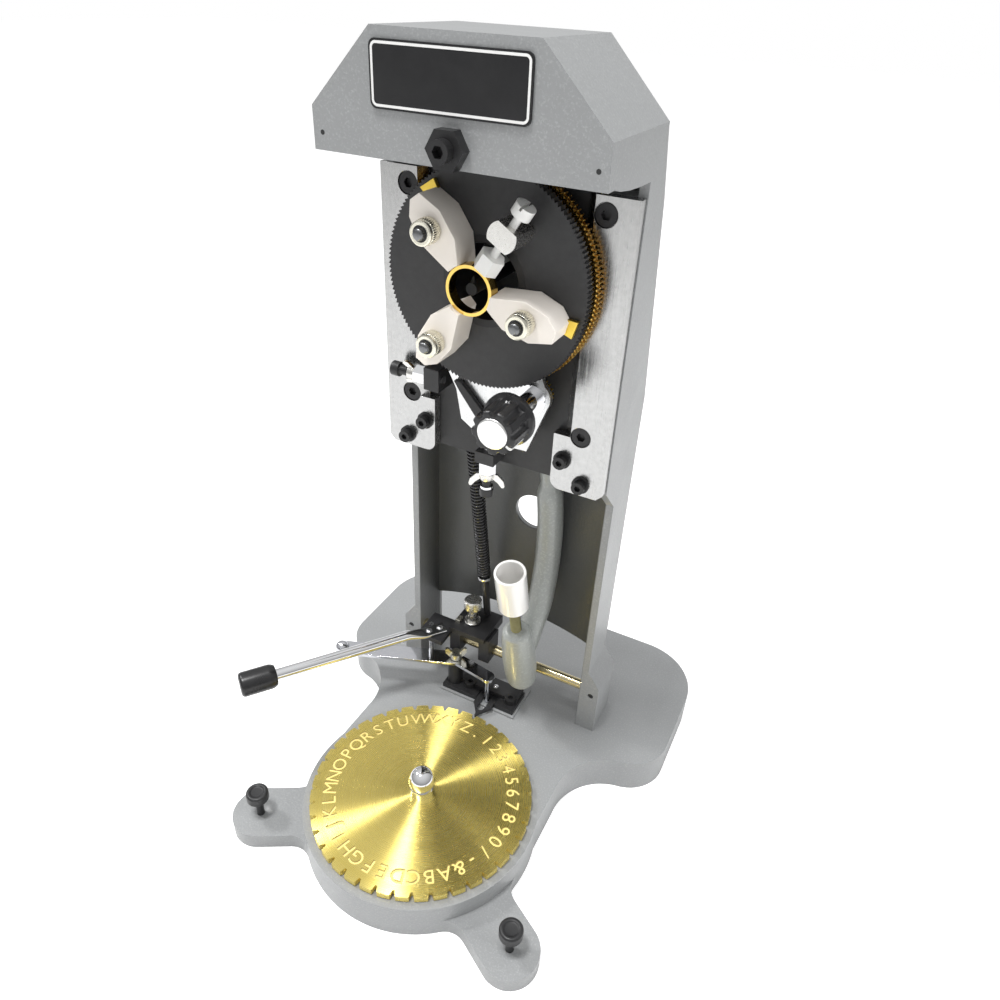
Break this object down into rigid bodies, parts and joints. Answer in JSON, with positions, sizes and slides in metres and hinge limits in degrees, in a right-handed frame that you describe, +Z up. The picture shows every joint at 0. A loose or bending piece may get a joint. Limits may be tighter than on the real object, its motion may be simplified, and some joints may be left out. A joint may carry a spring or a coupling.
{
  "type": "ring engraving machine",
  "caption": "Bench ring engraving machine: brass letter dial and hand tracer in front, tall hooded column with a geared ring chuck, counterweight arm and cutter bar.",
  "frame": {"origin": "on the bench plane under the letter dial's axis", "axes": "+Z up, -Y towards the operator, +X to the operator's right"},
  "size_m": [0.2209, 0.24, 0.382],
  "materials": {
    "grey_paint": "light grey hammered paint",
    "bright_plate": "ground bright steel",
    "polished": "polished bright plating",
    "dark_steel": "blackened steel, satin",
    "black_paint": "black satin paint",
    "brass": "turned brass",
    "gold": "polished yellow metal",
    "zinc": "yellow zinc plating",
    "jaw_cream": "cream moulded, satin",
    "black_plastic": "black moulded, semi gloss",
    "white_cup": "bright white aluminium",
    "arm_paint": "pale grey paint on cast iron"
  },
  "bodies": {
    "stand": {"base_casting": "grey_paint", "column_casting": "grey_paint", "nameplate": "black_paint", "hood_screw": "dark_steel", "hood_lock_nut": "dark_steel", "face_plate_left": "bright_plate", "face_plate_right": "bright_plate", "plate_cap_screws": "dark_steel", "gib_screws": "polished", "cross_shaft": "zinc", "shaft_set_screws": "dark_steel", "column_bolts": "dark_steel", "index_bracket": "black_paint", "bracket_screws": "dark_steel", "dial_spindle": "bright_plate"},
    "carriage": {"carriage_plate": "dark_steel", "spindle_bush": "brass", "stop_block": "black_paint", "side_screw": "polished", "low_screw": "polished", "link_rod": "black_paint", "link_spring": "black_paint"},
    "side_wing": {"side_wing_nut": "polished"},
    "low_wing": {"low_wing_nut": "polished"},
    "yoke": {"swing_yoke": "bright_plate", "knob_sleeve": "polished"},
    "pawl_lever": {"pawl": "dark_steel"},
    "chuck": {"chuck_spindle": "dark_steel", "ratchet_disc": "dark_steel", "chuck_gear": "brass", "spindle_nut": "dark_steel", "clamp_post": "bright_plate", "sample_ring": "gold"},
    "jaw_a": {"jaw_1": "jaw_cream"},
    "jaw_b": {"jaw_2": "jaw_cream"},
    "jaw_c": {"jaw_3": "jaw_cream"},
    "nut_a": {"jaw_nut_1": "zinc"},
    "nut_b": {"jaw_nut_2": "zinc"},
    "nut_c": {"jaw_nut_3": "zinc"},
    "clamp": {"clamp_screw": "polished"},
    "knob": {"pinion": "brass", "knob_shaft": "polished", "control_knob": "black_plastic", "knob_cap": "polished"},
    "tracer": {"tracer_block": "black_paint", "handle_rod": "polished", "handle_grip": "black_plastic", "tracer_stylus": "bright_plate"},
    "thumb": {"thumb_screw": "polished"},
    "arm": {"counter_arm": "arm_paint", "cup_stud": "zinc", "weight_cup": "white_cup", "cutter_bar": "bright_plate"},
    "lever": {"index_lever": "polished"},
    "lever_wing": {"lever_screw": "polished"},
    "finger": {"index_finger": "black_paint"},
    "dial": {"letter_dial": "brass", "dial_knob": "polished"},
    "ear_left": {"ear_screw_left": "black_paint"},
    "ear_right": {"ear_screw_right": "black_paint"}
  },
  "joints": [
    {"name": "dial_spin", "type": "hinge", "parent": "stand", "child": "dial", "pos_m": [0, 0, 0.026], "axis": [0, 0, 1], "continuous": true},
    {"name": "index_lever_swing", "type": "hinge", "parent": "stand", "child": "lever", "pos_m": [-0.0245, 0.0795, 0.0445], "axis": [0, 0, 1], "range_deg": [-6.66, 0]},
    {"name": "index_finger_slide", "type": "slide", "parent": "stand", "child": "finger", "axis": [0, 1, 0], "range_m": [-0.0029, 0]},
    {"name": "lever_screw_turn", "type": "hinge", "parent": "stand", "child": "lever_wing", "pos_m": [-0.0245, 0.0795, 0.048], "axis": [0, 0, 1], "range_deg": [-60, 30]},
    {"name": "carriage_lift", "type": "slide", "parent": "stand", "child": "carriage", "axis": [0, 0, 1], "range_m": [0, 0.0012]},
    {"name": "yoke_swing", "type": "hinge", "parent": "carriage", "child": "yoke", "pos_m": [0, 0.06, 0.293], "axis": [0, 1, 0], "range_deg": [-4, 4]},
    {"name": "chuck_spin", "type": "hinge", "parent": "yoke", "child": "chuck", "pos_m": [0, 0.056, 0.293], "axis": [0, 1, 0], "continuous": true},
    {"name": "knob_spin", "type": "hinge", "parent": "yoke", "child": "knob", "pos_m": [0.02352, 0.04, 0.245], "axis": [0, 1, 0], "continuous": true},
    {"name": "pawl_swing", "type": "hinge", "parent": "yoke", "child": "pawl_lever", "pos_m": [0.006, 0.057, 0.22293], "axis": [0, 1, 0], "range_deg": [-12, 0]},
    {"name": "jaw_a_slide", "type": "slide", "parent": "chuck", "child": "jaw_a", "axis": [-0.5878, 0, 0.809], "range_m": [0, 0.005]},
    {"name": "nut_a_turn", "type": "hinge", "parent": "jaw_a", "child": "nut_a", "pos_m": [-0.01587, 0.034, 0.31484], "axis": [0, 1, 0], "range_deg": [-180, 180]},
    {"name": "jaw_b_slide", "type": "slide", "parent": "chuck", "child": "jaw_b", "axis": [-0.515, 0, -0.8572], "range_m": [0, 0.005]},
    {"name": "nut_b_turn", "type": "hinge", "parent": "jaw_b", "child": "nut_b", "pos_m": [-0.01391, 0.034, 0.26986], "axis": [0, 1, 0], "range_deg": [-180, 180]},
    {"name": "jaw_c_slide", "type": "slide", "parent": "chuck", "child": "jaw_c", "axis": [0.9703, 0, -0.2419], "range_m": [0, 0.005]},
    {"name": "nut_c_turn", "type": "hinge", "parent": "jaw_c", "child": "nut_c", "pos_m": [0.0262, 0.034, 0.28647], "axis": [0, 1, 0], "range_deg": [-180, 180]},
    {"name": "clamp_screw_slide", "type": "slide", "parent": "chuck", "child": "clamp", "axis": [0.5299, 0, 0.848], "range_m": [0, 0.004]},
    {"name": "side_wing_turn", "type": "hinge", "parent": "carriage", "child": "side_wing", "pos_m": [-0.039, 0.0601, 0.24095], "axis": [1, 0, 0], "range_deg": [-180, 180]},
    {"name": "low_wing_turn", "type": "hinge", "parent": "carriage", "child": "low_wing", "pos_m": [0, 0.0636, 0.194], "axis": [0, 0, 1], "range_deg": [-180, 180]},
    {"name": "tracer_tilt", "type": "hinge", "parent": "stand", "child": "tracer", "pos_m": [-0.02, 0.093, 0.05], "axis": [1, 0, 0], "range_deg": [0, 6.02]},
    {"name": "thumb_turn", "type": "hinge", "parent": "tracer", "child": "thumb", "pos_m": [-0.021, 0.0935, 0.07], "axis": [0, 0, 1], "range_deg": [-180, 180]},
    {"name": "arm_swing", "type": "hinge", "parent": "stand", "child": "arm", "pos_m": [0.02, 0.093, 0.05], "axis": [1, 0, 0], "range_deg": [-1.1, 0]},
    {"name": "ear_left_turn", "type": "hinge", "parent": "stand", "child": "ear_left", "pos_m": [-0.07656, -0.0442, 0.02], "axis": [0, 0, 1], "range_deg": [-180, 180]},
    {"name": "ear_right_turn", "type": "hinge", "parent": "stand", "child": "ear_right", "pos_m": [0.07656, -0.0442, 0.02], "axis": [0, 0, 1], "range_deg": [-180, 180]}
  ],
  "couplings": [
    {"joint": "index_finger_slide", "follows": "index_lever_swing", "m_per_rad": 0.02472},
    {"joint": "tracer_tilt", "follows": "carriage_lift", "rad_per_m": 87.27},
    {"joint": "knob_spin", "follows": "chuck_spin", "ratio": -7.2}
  ]
}
